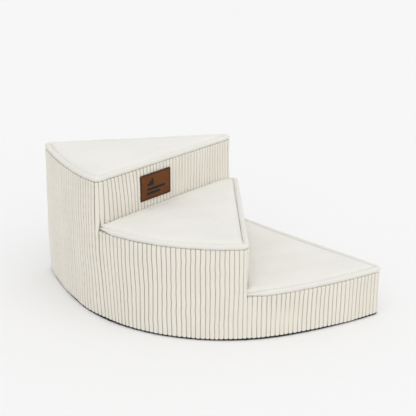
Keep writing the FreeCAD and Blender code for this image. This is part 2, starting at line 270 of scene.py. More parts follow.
plushLook = {"pile": (0.790, 0.775, 0.730), "shade": (0.742, 0.725, 0.675), "depth": 0.0006}
cordLook = {
    # groove is the darker ground between ribs, partly the cloth's own colour and partly painted shade
    "rib": (0.785, 0.755, 0.680), "ribWarm": (0.745, 0.708, 0.620), "groove": (0.44, 0.395, 0.32),
    # the colour of the painted shadow where the ribs tuck into the seams
    "seam": (0.16, 0.135, 0.10), "depth": 0.0005,
}


def plushMaterial(name, tint=1.0):
    # short dense pile: a fine nap, with soft patches where it was brushed another way
    r = Recipe(name, roughness=0.95, Sheen_Weight=0.25, Sheen_Roughness=0.6, Specular_IOR_Level=0.2)
    nap = r.noise(1100.0, 2.0, 0.7)
    tuft = r.noise(260.0, 3.0, 0.6)
    brushed = r.noise(9.0, 4.0, 0.55)
    shade = r.between(nap * 0.25 + tuft * 0.35 + brushed * 0.7, 0.45, 0.85)
    pile = tuple(v * tint for v in plushLook["pile"])
    r.colour(r.mix(shade, tuple(v * tint for v in plushLook["shade"]), pile))
    r.bump(nap * 0.6 + tuft * 0.8, plushLook["depth"])
    return r.material


def corduroyMaterial():
    # ribs of cut pile: light tops, a darker ground between them that is partly the cloth's own colour and partly
    # painted shade in the grooves, fine fibres running up each rib; the shadow value mixes in a painted shadow
    # where the ribs tuck into the top seam
    r = Recipe("corduroy", roughness=0.92, Sheen_Weight=0.2, Sheen_Roughness=0.5, Specular_IOR_Level=0.2)
    rib = r.between(r.attribute("rib"), 0.12, 0.75)
    fibre = r.noise(1.0, 3.0, 0.65, r.stretched((900.0, 900.0, 160.0)))
    weft = r.noise(1.0, 2.0, 0.6, r.stretched((160.0, 160.0, 1300.0)))
    worn = r.noise(14.0, 4.0, 0.6)
    top = r.mix(r.between(worn * 0.6 + fibre * 0.4, 0.35, 0.65), cordLook["ribWarm"], cordLook["rib"])
    # the shadow value mixes in the dark colour of the painted seam shadow
    r.colour(r.mix(r.attribute("shadow"), r.mix(rib, cordLook["groove"], top), cordLook["seam"]))
    r.bump(fibre * 0.7 + weft * 0.5, cordLook["depth"])
    return r.material


def clothMaterial(name, light, dark, scale, roughness=0.85):
    # plain woven or felted cloth
    r = Recipe(name, roughness=roughness, Specular_IOR_Level=0.25)
    weave = r.noise(scale, 2.0, 0.6)
    cloud = r.noise(30.0, 3.0, 0.6)
    r.colour(r.mix(r.between(weave * 0.7 + cloud * 0.5, 0.4, 0.8), dark, light))
    r.bump(weave, 0.0004)
    return r.material


def leatherMaterial():
    # brown patch leather: pebble grain, cloudy dye, burnished darker towards the edge
    r = Recipe("labelLeather", roughness=0.6, Specular_IOR_Level=0.15)
    grain = r.add("ShaderNodeTexVoronoi", {"feature": "DISTANCE_TO_EDGE"}, {"Vector": r.place, "Scale": 520.0})
    cloud = r.noise(38.0, 4.0, 0.65)
    fine = r.noise(1500.0, 2.0, 0.6)
    dye = r.mix(r.between(cloud + fine * 0.3, 0.45, 0.85), (0.118, 0.036, 0.008), (0.155, 0.052, 0.012))
    r.colour(r.mix(r.attribute("edge"), dye, (0.045, 0.020, 0.012)))
    r.feed(r.surface.inputs["Roughness"], r.between(cloud, 0.2, 0.9) * 0.2 + 0.5)
    r.bump(r.between(grain, 0.0, 0.35) * 0.6 + fine * 0.3, 0.00035)
    return r.material


def metalMaterial():
    # cast zip metal: brushed, a little dull in patches
    r = Recipe("zipMetal", roughness=0.35, Metallic=1.0)
    brush = r.noise(1.0, 3.0, 0.6, r.stretched((300.0, 300.0, 2600.0)))
    dull = r.noise(220.0, 3.0, 0.6)
    r.colour(r.mix(r.between(dull, 0.35, 0.7), (0.42, 0.42, 0.41), (0.60, 0.59, 0.57)))
    r.feed(r.surface.inputs["Roughness"], r.between(dull * 0.6 + brush * 0.4, 0.3, 0.8) * 0.25 + 0.25)
    r.bump(brush, 0.00004)
    return r.material


def plainMaterial(name, light, dark, scale, roughness, depth=0.0002):
    # rubber, foam and moulded plastic: two close colours and a fine surface
    r = Recipe(name, roughness=roughness)
    speck = r.noise(scale, 4.0, 0.6)
    r.colour(r.mix(r.between(speck, 0.35, 0.7), dark, light))
    r.bump(speck, depth)
    return r.material


mats = {
    "plush": plushMaterial("treadPlush"),
    # the rims' plush is the treads' plush painted 4% darker as shade, so the rounded rims don't read brighter than
    # the treads
    "piping": plushMaterial("rimPlushShaded", 0.96),
    "cord": corduroyMaterial(),
    "thread": clothMaterial("sewingThread", (0.70, 0.68, 0.62), (0.55, 0.53, 0.47), 1800.0, 0.7),
    "base": clothMaterial("nonSlipCloth", (0.030, 0.030, 0.031), (0.012, 0.012, 0.013), 900.0),
    "dots": plainMaterial("gripSilicone", (0.045, 0.045, 0.047), (0.030, 0.030, 0.032), 300.0, 0.45),
    "leather": leatherMaterial(),
    "print": plainMaterial("labelPrint", (0.008, 0.006, 0.005), (0.004, 0.0035, 0.003), 900.0, 0.85),
    "tape": clothMaterial("zipTape", (0.74, 0.71, 0.63), (0.60, 0.57, 0.50), 1500.0),
    "coil": plainMaterial("zipCoil", (0.80, 0.77, 0.70), (0.70, 0.67, 0.60), 400.0, 0.4),
    "metal": metalMaterial(),
    "foam": plainMaterial("coreFoam", (0.83, 0.80, 0.66), (0.70, 0.66, 0.52), 500.0, 0.9, 0.0006),
}
print("materials made")


# Mesh helpers.
def meshObject(name, points, faces, material):
    mesh = bpy.data.meshes.new(name)
    mesh.from_pydata(np.asarray(points).reshape(-1, 3).tolist(), [], [list(f) for f in faces])
    mesh.update()
    item = bpy.data.objects.new(name, mesh)
    bpy.context.scene.collection.objects.link(item)
    mesh.materials.append(material)
    mesh.polygons.foreach_set("use_smooth", [True] * len(mesh.polygons))
    return item


def gridFaces(rows, columns, offset=0, loop=False):
    # quads of a grid stored row by row; loop joins the last column to the first
    i = np.arange(rows - 1)[:, None] * columns
    j = np.arange(columns if loop else columns - 1)[None, :]
    k = (j + 1) % columns
    a, b, c, d = i + j, i + k, i + columns + k, i + columns + j
    return (np.stack([a, b, c, d], -1).reshape(-1, 4) + offset).tolist()


def tubeFaces(rows, columns, start=0):
    # rings joined into a tube, with a flat face over each end
    end = start + (rows - 1) * columns
    caps = [list(range(start, start + columns))[::-1], list(range(end, end + columns))]
    return gridFaces(rows, columns, start, loop=True) + caps


def ringFaces(rows, columns):
    # a tube that meets itself: the last ring is joined to the first
    k, last = np.arange(columns), (rows - 1) * columns
    join = np.stack([last + k, last + (k + 1) % columns, (k + 1) % columns, k], 1).tolist()
    return gridFaces(rows, columns, loop=True) + join


def manyTubes(count, rows, columns):
    # the faces of many small capped tubes, one after another
    offsets = (np.arange(count) * rows * columns)[:, None, None]
    faces = (np.array(gridFaces(rows, columns, loop=True))[None] + offsets).reshape(-1, 4).tolist()
    for cap in (np.arange(columns)[::-1], np.arange(columns) + (rows - 1) * columns):
        faces += (cap[None] + offsets[:, 0]).tolist()
    return faces


def welded(name, node, distance, flatten=False):
    # a copy of a plain solid with its split corners joined, and with one face for each flat side if asked
    item = bpy.data.objects.new(name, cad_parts[node].data.copy())
    bpy.context.scene.collection.objects.link(item)
    shape = bmesh.new()
    shape.from_mesh(item.data)
    bmesh.ops.remove_doubles(shape, verts=shape.verts, dist=distance)
    if flatten:
        bmesh.ops.dissolve_limit(shape, angle_limit=math.radians(1), verts=shape.verts, edges=shape.edges)
    shape.to_mesh(item.data)
    shape.free()
    return item


def dress(item, material):
    item.data.materials.clear()
    item.data.materials.append(mats[material])


def pointOutwards(item):
    shape = bmesh.new()
    shape.from_mesh(item.data)
    bmesh.ops.recalc_face_normals(shape, faces=shape.faces)
    shape.to_mesh(item.data)
    shape.free()


def setFloat(item, name, values):
    layer = item.data.attributes.new(name, "FLOAT", "POINT")
    layer.data.foreach_set("value", np.asarray(values, float).ravel())


def finishPiece(item, slot, body, *nodes):
    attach(item, body)
    if nodes:
        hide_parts(*nodes)
    return item


def closedPiece(name, points, faces, material, slot, body, *nodes):
    item = meshObject(name, points, faces, mats[material])
    pointOutwards(item)
    return finishPiece(item, slot, body, *nodes)


# Corduroy.
cord = {
    "pitch": 0.0102,
    "tall": 0.0028,         # rib above the ground between ribs
    "groove": 0.15,         # half width of a groove, in ribs
    "columns": (0, 0.025, 0.06, 0.10, 0.15, 0.24, 0.37, 0.5, 0.63, 0.76, 0.85, 0.90, 0.94, 0.975),
    "rowStep": 0.0065,
    "wander": 0.0007,       # how far a rib strays sideways
    "tuck": 0.0040,         # length over which a rib's end turns into a seam
    "tuckDeep": 0.0034,
    "foot": 0.0010,         # lower end of the ribs above the floor
    "scallop": 0.0020,      # how far a rib's foot reaches below the groove beside it
}


def ribCrest(p):
    # distance from the nearest groove: 0 in it, 0.5 on the crest
    return np.abs(p - np.round(p))


def hemLift(s):
    # the hem rides up a little under the upper step's corner and again below the lower step's
    first = 0.0030 * np.exp(-((s - upperSeam - 0.030) / 0.035) ** 2)
    second = 0.0013 * np.exp(-((s - lowerSeam - 0.060) / 0.11) ** 2)
    return first + second + 0.0003 * (1.6 + ripple(s, 0, 0.05, 1, 71))


def cordShell(sFrom, sTo, zFrom, zTo, where, seed, tuckTop=0.6, tuckFoot=True, sideTuck=(None, None), lean=None,
              pitches=None, calm=None, bulge=0.0, tone=(1.0, 1.0), anchor=None, press=None):
    # A sheet of ribs as one closed shell.  Columns follow the ribs, whose pitch may run from one width
    # to another; a groove is a narrow trough, 1 - (1 - gap / half width)^2, between full, nearly flat
    # ribs.  The sheet's back is flat, one skin deep.  The rib value it returns carries painted shade, dark
    # in the grooves and where a rib's end turns into a seam, and its shadow value is a painted shadow in the
    # top seam.  tuckTop is how dark that painted shadow in the top seam is, and tone scales the grooves,
    # their depth and their painted shade, from the first rib to the last.  Sheets with an anchor count their ribs
    # from that length, so the ribs of one sheet run on into the next.  press flattens the ribs and their
    # grooves to one height where the sheet is sewn down.
    length = sTo - sFrom
    first, last = pitches or (cord["pitch"], cord["pitch"])
    if anchor is None:
        ribs = max(1, round(length * 2 / (first + last)))
        phase = np.append((np.arange(ribs)[:, None] + np.array(cord["columns"])[None, :]).ravel(), ribs)
        place = phase * first + (last - first) * phase ** 2 / (2 * ribs)
        place = place / place[-1] * length
    else:
        low, high = (sFrom - anchor) / first, (sTo - anchor) / first
        whole = np.arange(math.floor(low), math.ceil(high) + 1)
        phase = (whole[:, None] + np.array(cord["columns"])[None, :]).ravel()
        phase = np.concatenate([[low], phase[(phase > low + 0.01) & (phase < high - 0.01)], [high]])
        place = (phase - low) * first
    fine = np.array([0, 0.0005, 0.0012, 0.0021, 0.0032, 0.0046, 0.0065])
    middleRows = int((zTo - zFrom - 0.02) / cord["rowStep"])
    between = np.linspace(zFrom + 0.01, zTo - 0.01, max(2, middleRows))
    z = np.concatenate([zFrom + fine, between, (zTo - fine)[::-1]])
    if middleRows < 1:
        z = np.linspace(zFrom, zTo, 9)
    p, zz = np.meshgrid(phase, z)
    s0 = sFrom + np.repeat(place[None], len(z), 0)
    ends = ease(np.minimum(s0 - sFrom, sTo - s0), 0, 0.020)
    knots = np.arange(-60, 61)
    widths, talls = (np.interp(phase, knots, np.random.default_rng(seed + k).normal(0, 1, 121)) for k in (0, 500))
    drift = cord["wander"] * ripple(s0, zz, 0.30, 0.25, 11) + 0.0002 * ripple(s0, zz, 0.05, 0.05, seed + 1)
    s = s0 + (drift + 0.0004 * widths[None, :]) * ends
    if lean is not None:
        s = s + lean(s0, zz)
    gap = ribCrest(p)
    shape = 1 - np.clip(1 - gap / cord["groove"], 0, 1) ** 2
    shape = shape * (0.80 + 0.20 * np.sin(math.pi * gap)) * np.clip(1 + 0.07 * talls[None, :], 0.8, 1.15)
    if calm is not None:
        shape = 0.95 - (0.95 - shape) * calm(s0, zz)
    shape = shape * (1 + 0.04 * ripple(s, zz, 0.012, 0.014, seed + 2, 5))
    sewn = 0 if press is None else press(s0, zz)
    shape = shape + (0.62 - shape) * sewn
    strong = tone[0] + (tone[1] - tone[0]) * (s0 - sFrom) / length
    topGap, footGap = zTo - zz, zz - zFrom
    hold = np.ones_like(zz)
    sink = np.zeros_like(zz)
    shadow = np.zeros_like(zz)
    # where a rib's end turns into a seam, hold lowers the rib and darkens its rib value as painted shade; shadow
    # is the painted shadow in the top seam
    if tuckTop:
        turned = 1 - ease(topGap, 0, cord["tuck"])
        hold = hold * (1 - 0.6 * turned)
        sink = sink + cord["tuckDeep"] * turned ** 1.5
        shadow = tuckTop * np.exp(-(topGap / 0.0022) ** 2) * (1 - 0.6 * np.clip(shape, 0, 1))
    if tuckFoot:
        turned = 1 - ease(footGap, 0, cord["tuck"])
        hold = hold * (1 - 0.5 * turned)
        sink = sink + cord["tuckDeep"] * 0.5 * turned ** 1.5
    sink = sink + 0.0012 * sewn * (1 - ease(np.minimum(topGap, footGap), 0, 0.0022)) ** 2
    for side, away in zip(sideTuck, (s0 - sFrom, sTo - s0)):
        if side is not None:
            sink = sink + 0.0018 * side(zz) * (1 - ease(away, 0, 0.0040)) ** 1.3
    puff = 0.0007 * ripple(s, zz, 0.25, 0.16, 23) + bulge * np.sin(math.pi * (zz - zFrom) / (zTo - zFrom))
    tall = cord["tall"] * (1 - (1 - shape * hold) * strong)
    depth = skinDeep - 0.0005 - tall + sink - puff * hold
    front = where(s, zz, np.minimum(depth, skinDeep + 0.0033))
    if tuckFoot and zFrom < 0.01:
        low = 1 - ease(footGap, 0, 0.006)
        front[..., 2] += (hemLift(s) + cord["scallop"] * (1 - np.sin(math.pi * gap))) * low
    foot, top = np.full(len(phase), zFrom), np.full(len(phase), zTo)
    inner = np.full(len(phase), skinDeep + 0.0035)
    back = np.stack([where(s[0], foot, inner), where(s[-1], top, inner)])
    rows, columns = zz.shape
    count = rows * columns
    faces = gridFaces(rows, columns)
    faces += [f[::-1] for f in gridFaces(2, columns, count)]
    footRow = np.arange(columns)
    topRow = footRow + (rows - 1) * columns
    backFoot, backTop = footRow + count, footRow + count + columns
    faces += np.stack([footRow[1:], footRow[:-1], backFoot[:-1], backFoot[1:]], 1).tolist()
    faces += np.stack([topRow[:-1], topRow[1:], backTop[1:], backTop[:-1]], 1).tolist()
    leftEdge = np.arange(rows) * columns
    rightEdge = leftEdge + columns - 1
    faces.append([int(v) for v in leftEdge] + [int(backTop[0]), int(backFoot[0])])
    faces.append([int(v) for v in rightEdge[::-1]] + [int(backFoot[-1]), int(backTop[-1])])
    points = np.concatenate([front.reshape(-1, 3), back.reshape(-1, 3)])
    light = np.concatenate([np.clip(1 - (1 - shape * hold) * strong, 0, 1).ravel(), np.full(2 * columns, 0.5)])
    dark = np.concatenate([shadow.ravel(), np.zeros(2 * columns)])
    return points, faces, light, dark


def raised(x, z):
    # the lowest step's soft outer corner stands a little higher than its inner edge
    return z + 0.0050 * ease(x, 0.10, 0.38) * np.clip(z / treadTop[1], 0, 1)


def onLevel(level):
    # a place on a level's wall is its core point + normal * (corner radius - depth)
    def where(s, z, depth):
        x, y, nx, ny = along(level, s)
        out = fan["corner"] - depth
        x, y = x + nx * out, y + ny * out
        return np.stack([x, y, raised(x, z) if level == 1 else z], -1)
    return where


def blended(lower, upper, zLow, zHigh):
    # the sheet follows one level's outline below zLow and the next level's above zHigh
    first, second = onLevel(lower), onLevel(upper)

    def where(s, z, depth):
        share = ease(np.asarray(z), zLow, zHigh)[..., None]
        return first(s, z, depth) * (1 - share) + second(s, z, depth) * share
    return where


def cordPanel(name, shells, node):
    # sheets put together as one piece, each sheet's faces counted on from the points before it
    points, faces, shade, shadow = [], [], [], []
    total = 0
    for p, f, light, dark in shells:
        points.append(p)
        faces += [[v + total for v in face] for face in f]
        shade.append(light)
        shadow.append(dark)
        total += len(p)
    item = meshObject(name, np.concatenate(points), faces, mats["cord"])
    setFloat(item, "rib", np.concatenate(shade))
    setFloat(item, "shadow", np.concatenate(shadow))
    return finishPiece(item, "corduroy", "stair", node)


belowMiddle = lambda z: 0.7 - 0.7 * ease(z, seamAt[2] - 0.012, seamAt[2])
belowLow = lambda z: 0.5 - 0.5 * ease(z, seamAt[1] - 0.004, seamAt[1] + 0.012)
foot = cord["foot"]


def wallLean(s, z):
    # the front wall's ribs slip to the right towards the floor, most at the upper riser's seam
    return 0.013 * ease(1 - z / seamAt[2], 0.1, 1.0) * np.exp(-((s - upperSeam - 0.01) / 0.065) ** 2)


def riserLean(s, z):
    # beside the front corner the riser's ribs lean, their feet further along
    down = (seamAt[3] - z) / (seamAt[3] - seamAt[2])
    return 0.012 * down * np.exp(-((s - upperSeam - 0.055) / 0.055) ** 2) * ease(s, upperSeam, upperSeam + 0.02)


calmCorner = lambda s, z: 0.15 + 0.85 * ease(s, lowerSeam + 0.012, lowerSeam + 0.035)
calmSeam = lambda s, z: 0.25 + 0.75 * ease(s, lowerSeam + 0.003, lowerSeam + 0.010)
calmTurn = lambda s, z: 1 - 0.55 * ease(z, seamAt[2], treadTop[2]) * (
    1 - ease(np.abs(s - upperSeam), 0.001, 0.003))

cordPanel("wallTop", [cordShell(0, upperSeam, foot, seamAt[3],
                                blended(2, 3, seamAt[2] - 0.006, seamAt[2] + 0.02), 31, 0.6,
                                sideTuck=(None, belowMiddle), lean=wallLean, pitches=(0.0105, 0.0110),
                                calm=calmTurn, bulge=0.0020, tone=(1.3, 1.8))], "wall_top")
cordPanel("wallMiddle", [cordShell(upperSeam, lowerSeam, foot, seamAt[2],
                                   blended(1, 2, seamAt[1] - 0.01, seamAt[1] + 0.02), 32, 1.0,
                                   sideTuck=(belowMiddle, belowLow), lean=wallLean, pitches=(0.0115, 0.0095),
                                   bulge=0.0010, tone=(1.4, 0.8))], "wall_middle")
cordPanel("wallLow", [cordShell(lowerSeam, rightCorner, foot, seamAt[1], onLevel(1), 33,
                                sideTuck=(belowLow, None), calm=calmSeam)], "wall_low")
cordPanel("riserUpper", [cordShell(upperSeam, tipMiddle(3), seamAt[2] + 0.001, seamAt[3], onLevel(3), 34,
                                   lean=riserLean, pitches=(0.0120, 0.0094), calm=calmTurn, tone=(1.4, 0.9))],
          "riser_upper")
cordPanel("riserLower", [cordShell(lowerSeam, tipMiddle(2), seamAt[1] + 0.001, seamAt[2], onLevel(2), 35,
                                   calm=calmCorner)], "riser_lower")
cordPanel("backRight", [cordShell(rightCorner, tipMiddle(1), foot, seamAt[1], onLevel(1), 36)], "back_panel_right")
print("corduroy sewn")


# Left back wall, with the slot that the zip lies in.
zipLow, zipHigh = (np.array(v) for v in (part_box("zip_tape_lower")[0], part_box("zip_tape_upper")[1]))
backWay = polar(1, 180 + fan["backAngle"])            # out along the left back wall
backNormal = polar(1, 90 + fan["backAngle"])
slotFoot, slotTop = float(zipLow[2]), float(zipHigh[2])
slotFar = float(np.hypot(zipLow[0], apexY - zipLow[1]))
slotNear = float(np.hypot(zipHigh[0], apexY - zipHigh[1]))
apexToStart = fan["corner"] / math.tan(math.radians(60))    # straight run starts this far from the fan's edge


def backLength(out):
    # length on the lowest level's path at a distance out from the fan's back edge
    return roundEnd[1] - apexToStart + out - paths[1]["total"]


hemBand = {"across": (0.0050, 0.0085), "along": (0.002, 0.008)}     # flat up to the first, free from the second


def zipHem(s, z):
    # the cloth is sewn down flat in a band round the zip: one eased step across it times one along it
    beside = np.maximum(backLength(slotNear) - s, s - backLength(slotFar))
    above = np.abs(z - (slotFoot + slotTop) / 2) - (slotTop - slotFoot) / 2
    return (1 - ease(above, *hemBand["across"])) * (1 - ease(beside, *hemBand["along"]))


def backShells():
    near, far = backLength(slotNear), backLength(slotFar)
    tip = {level: tipMiddle(level) - paths[level]["total"] for level in paths}
    plain = {"tuckTop": 0, "tuckFoot": False, "anchor": 0}
    return [
        cordShell(tip[3], 0, seamAt[2], seamAt[3], onLevel(3), 37, tuckFoot=False, anchor=0),
        cordShell(tip[2], 0, seamAt[1], seamAt[2], onLevel(2), 37, **plain),
        cordShell(tip[1], 0, slotTop, seamAt[1], onLevel(1), 37, press=zipHem, **plain),
        cordShell(tip[1], 0, foot, slotFoot, onLevel(1), 37, tuckTop=0, anchor=0, press=zipHem),
        cordShell(tip[1], near, slotFoot, slotTop, onLevel(1), 37, **plain),
        cordShell(far, 0, slotFoot, slotTop, onLevel(1), 37, **plain),
    ]


cordPanel("backLeft", backShells(), "back_panel_left")


# Rims: plush turned over a soft cord along each tread's free edges.
rimLook = {
    "inset": 0.0066, "drop": 0.0044, "wide": 0.0062, "tall": 0.0058, "step": 0.003, "around": 28,
    "taperNear": 0.045, "taperFar": 0.022,          # lengths over which an open rim thins at its ends
    "thinIn": 0.0040, "thinDown": 0.0025,           # how far a thin end moves into the seam
}


def tipDip(level, x, y):
    # the middle tread's back tip is pulled down into the top step's corner
    near = np.hypot(x, y - apexY + 0.010)
    return 0.0065 * np.exp(-(near / 0.035) ** 2) if level == 2 else 0 * near


def rimTube(level, sFrom, sTo, seed, closed=False):
    # an oval section carried along the outline; the oval swells and shrinks a little on the way, and an
    # open rim is thin at both ends, where it goes into the seam
    count = int((sTo - sFrom) / rimLook["step"])
    s = np.linspace(sFrom, sTo, count, endpoint=not closed)[:, None]
    turn = np.linspace(0, 2 * math.pi, rimLook["around"], endpoint=False)[None, :]
    thick = ease(s, sFrom, sFrom + rimLook["taperNear"]) * ease(sTo - s, 0, rimLook["taperFar"])
    full = 1 if closed else 0.35 + 0.65 * thick
    swell = 1 + 0.035 * ripple(s, 0, 0.030, 1, seed) + 0.02 * ripple(s, turn, 0.010, 3.0, seed + 1)
    inset = rimLook["inset"] + rimLook["thinIn"] * (1 - full) - rimLook["wide"] * np.cos(turn) * swell * full
    x, y = outsideAt(level, s, inset)
    z = treadTop[level] - rimLook["drop"] - rimLook["thinDown"] * (1 - full)
    z = z + rimLook["tall"] * np.sin(turn) * swell * full
    z = z - tipDip(level, x, y)
    if level == 1:
        z = raised(x, z)
    points = np.stack([x, y, z + 0 * x], -1).reshape(-1, 3)
    faces = (ringFaces if closed else tubeFaces)(count, rimLook["around"])
    name = stepName[level]
    return closedPiece("rim" + name.capitalize(), points, faces, "piping", "piping", "stair", f"tread_rim_{name}")


rimTube(3, paths[3]["s"][0], paths[3]["s"][0] + paths[3]["total"], 41, closed=True)
rimTube(2, upperSeam - 0.003, roundEnd[2] + 0.019, 43)
rimTube(1, lowerSeam - 0.003, roundEnd[1] + 0.006, 45)
print("rims made")


# Treads: plush over soft foam, blown up as cloth and then stitched down near the edge.
tread = {
    "voxel": 0.005, "deeper": 0.014, "pressure": 4.0, "frames": 20, "cap": 0.0045,
    "crease": 0.0138, "creaseDeep": 0.0007, "creaseWide": 0.0030,
    "stitchPitch": 0.0052, "stitchLong": 0.0034, "stitchThick": 0.0004,
    "crown": 0.0035, "lumps": 0.0009,                           # rise of the middle, and its unevenness
    "runUnder": 0.0060, "swellUnder": 0.0022, "underWide": 0.020,     # the edge beside the next step's riser
}


def baked(item):
    # replace the mesh by what its modifiers make of it
    graph = bpy.context.evaluated_depsgraph_get()
    result = bpy.data.meshes.new_from_object(item.evaluated_get(graph), depsgraph=graph)
    item.modifiers.clear()
    item.data = result
    return item


def coordinates(mesh):
    flat = np.empty(len(mesh.vertices) * 3)
    mesh.vertices.foreach_get("co", flat)
    return flat.reshape(-1, 3)


def setCoordinates(item, points):
    item.data.vertices.foreach_set("co", points.ravel())
    item.data.update()


def blowUp(item):
    # the cloth swells under pressure, and each point's move m is held to cap * tanh(m / cap)
    before = coordinates(item.data)
    cloth = item.modifiers.new("cloth", "CLOTH")
    cloth.settings.use_pressure = True
    cloth.settings.uniform_pressure_force = tread["pressure"]
    cloth.settings.effector_weights.gravity = 0
    cloth.settings.quality = 4
    cloth.settings.bending_stiffness = 2.0
    cloth.point_cache.frame_start, cloth.point_cache.frame_end = 1, tread["frames"]
    for number in range(1, tread["frames"] + 1):
        bpy.context.scene.frame_set(number)
    graph = bpy.context.evaluated_depsgraph_get()
    after = coordinates(item.evaluated_get(graph).data)
    item.modifiers.clear()
    bpy.context.scene.frame_set(1)
    move = after - before
    far = np.linalg.norm(move, axis=1, keepdims=True) + 1e-9
    setCoordinates(item, before + move / far * tread["cap"] * np.tanh(far / tread["cap"]))


def edgeDistance(level, points):
    # distance in plan from each point to the level's outline
    s = np.linspace(paths[level]["s"][0], roundEnd[level], 1400)
    x, y = outsideAt(level, s)
    best = np.full(len(points), 9.0)
    for chunk in np.array_split(np.arange(len(s)), 14):
        gap = np.hypot(points[:, :1] - x[chunk], points[:, 1:2] - y[chunk])
        best = np.minimum(best, gap.min(axis=1))
    return best


def underRiser(level, points):
    # the edge beside the next step's riser runs on inside it and swells up against its foot
    normal = polar(1, 270 + fan["backAngle"] + fan["wedge"] * (3 - level))
    away = (points[:, :2] - [0, apexY]) @ normal
    near = 1 - ease(away, 0, tread["underWide"])
    points[:, :2] -= tread["runUnder"] * near[:, None] * normal
    points[:, 2] += tread["swellUnder"] * near * ease(points[:, 2], seamAt[level], treadTop[level])
    return points


def treadCushion(level, seed):
    # the solid made into even small faces, blown up, then raised by a crown and lowered in the crease,
    # creaseDeep * exp(-((gap - crease) / creaseWide)^2), where gap is the distance in from the outline
    name = stepName[level]
    item = welded("tread" + name.capitalize(), f"tread_panel_{name}", 1e-5)
    points = coordinates(item.data)
    points[:, 2] -= np.where(points[:, 2] < seamAt[level] + 0.002, tread["deeper"], 0.0005)
    setCoordinates(item, points)
    remesh = item.modifiers.new("voxels", "REMESH")
    remesh.mode = "VOXEL"
    remesh.voxel_size = tread["voxel"]
    baked(item)
    blowUp(item)
    finer = item.modifiers.new("finer", "SUBSURF")
    finer.levels = finer.render_levels = 1
    baked(item)
    points = coordinates(item.data)
    gap = edgeDistance(level, points)
    upper = ease(points[:, 2], treadTop[level] - 0.008, treadTop[level] - 0.002)
    crease = np.exp(-((gap - tread["crease"]) / tread["creaseWide"]) ** 2)
    lumps = tread["lumps"] * ripple(points[:, 0], points[:, 1], 0.16, 0.16, seed)
    crown = tread["crown"] * ease(gap, 0.010, 0.09) + lumps
    points[:, 2] += upper * (crown * ease(gap, 0.01, 0.04) - tread["creaseDeep"] * crease)
    points[:, 2] -= tipDip(level, points[:, 0], points[:, 1])
    if level == 1:
        points[:, 2] = raised(points[:, 0], points[:, 2])
    if level < 3:
        points = underRiser(level, points)
    setCoordinates(item, points)
    dress(item, "plush")
    item.data.polygons.foreach_set("use_smooth", [True] * len(item.data.polygons))
    finishPiece(item, "plush", "stair", f"tread_panel_{name}", f"tread_pad_{name}")
    print("tread", name, "made with", len(item.data.polygons), "faces")
    return item


# Sewing thread: each stitch a short capsule between two points.
def stitchMesh(name, starts, ends, lift, thick, material, slot, sides=6):
    # rings at five stations; radius is a half-ellipse over the length, and the middle stands up by lift
    starts, ends, lift = (np.asarray(v, float)[:, None, None, :] for v in (starts, ends, lift))
    t = np.linspace(0, 1, 5)[None, :, None, None]
    turn = np.linspace(0, 2 * math.pi, sides, endpoint=False)[None, None, :, None]
    way = ends - starts
    way = way / np.linalg.norm(way, axis=-1, keepdims=True)
    up = lift / (np.linalg.norm(lift, axis=-1, keepdims=True) + 1e-12)
    side = np.cross(way, up)
    radius = thick * np.sqrt(np.clip(1 - (2 * t - 1) ** 2, 0.06, 1))
    middle = starts + (ends - starts) * t + lift * (1 - (2 * t - 1) ** 2)
    points = middle + radius * (side * np.cos(turn) + up * np.sin(turn))
    return closedPiece(name, points, manyTubes(len(points), 5, sides), material, slot, "stair")


def topStitches(level, item, sFrom, sTo):
    # a run of stitches in the crease, laid on the tread's own surface
    count = int((sTo - sFrom) / tread["stitchPitch"])
    s = sFrom + (np.arange(count) + 0.5) * tread["stitchPitch"]
    half = tread["stitchLong"] / 2
    pairs = [outsideAt(level, s + step, tread["crease"]) for step in (-half, half)]
    ends = []
    for x, y in pairs:
        tops = [Vector((a, b, treadTop[level] + 0.05)) for a, b in zip(x, y)]
        ends.append(np.stack([x, y, [item.ray_cast(top, Vector((0, 0, -1)))[1][2] for top in tops]], 1))
    onTread = np.minimum(ends[0][:, 2], ends[1][:, 2]) > seamAt[level]
    ends = [points[onTread] for points in ends]
    lift = np.repeat([[0, 0, 0.00035]], onTread.sum(), 0)
    name = stepName[level]
    return stitchMesh("stitches" + name.capitalize(), *ends, lift, tread["stitchThick"], "thread", "piping")


cushions = {level: treadCushion(level, 50 + level) for level in (3, 2, 1)}
bpy.context.view_layer.update()
topStitches(3, cushions[3], paths[3]["s"][0], roundEnd[3])
topStitches(2, cushions[2], upperSeam + 0.020, roundEnd[2] - 0.010)
topStitches(1, cushions[1], lowerSeam + 0.022, roundEnd[1] - 0.006)
print("treads stitched")


# Upright seams of the front wall: small stitches across the joint.
def seamStitches(name, level, s, zFrom, zTo, pitch=0.0068, long=0.0030):
    # one stitch for each pitch of height, half its length on each side of the seam
    z = np.arange(zFrom, zTo, pitch)
    x1, y1 = outsideAt(level, s - long / 2, 0.0021)
    x2, y2 = outsideAt(level, s + long / 2, 0.0021)
    starts = np.stack([np.full_like(z, x1), np.full_like(z, y1), z], 1)
    ends = np.stack([np.full_like(z, x2), np.full_like(z, y2), z + 0.0006], 1)
    _, _, nx, ny = along(level, s)
    lift = np.repeat([[float(nx) * 0.0004, float(ny) * 0.0004, 0]], len(z), 0)
    return stitchMesh(name, starts, ends, lift, 0.0004, "thread", "corduroy")


seamStitches("seamUpper", 1, upperSeam, foot + 0.006, seamAt[2] - 0.006)
seamStitches("seamLower", 1, lowerSeam, foot + 0.006, seamAt[1] - 0.006)
seamStitches("seamCorner", 2, lowerSeam, treadTop[1] + 0.010, seamAt[2] - 0.006)


# Non-slip base.
baseLook = {"under": 0.0007, "dotPitch": 0.0105, "dotRadius": 0.0019, "dotMargin": 0.012, "edgeTop": 0.0066}


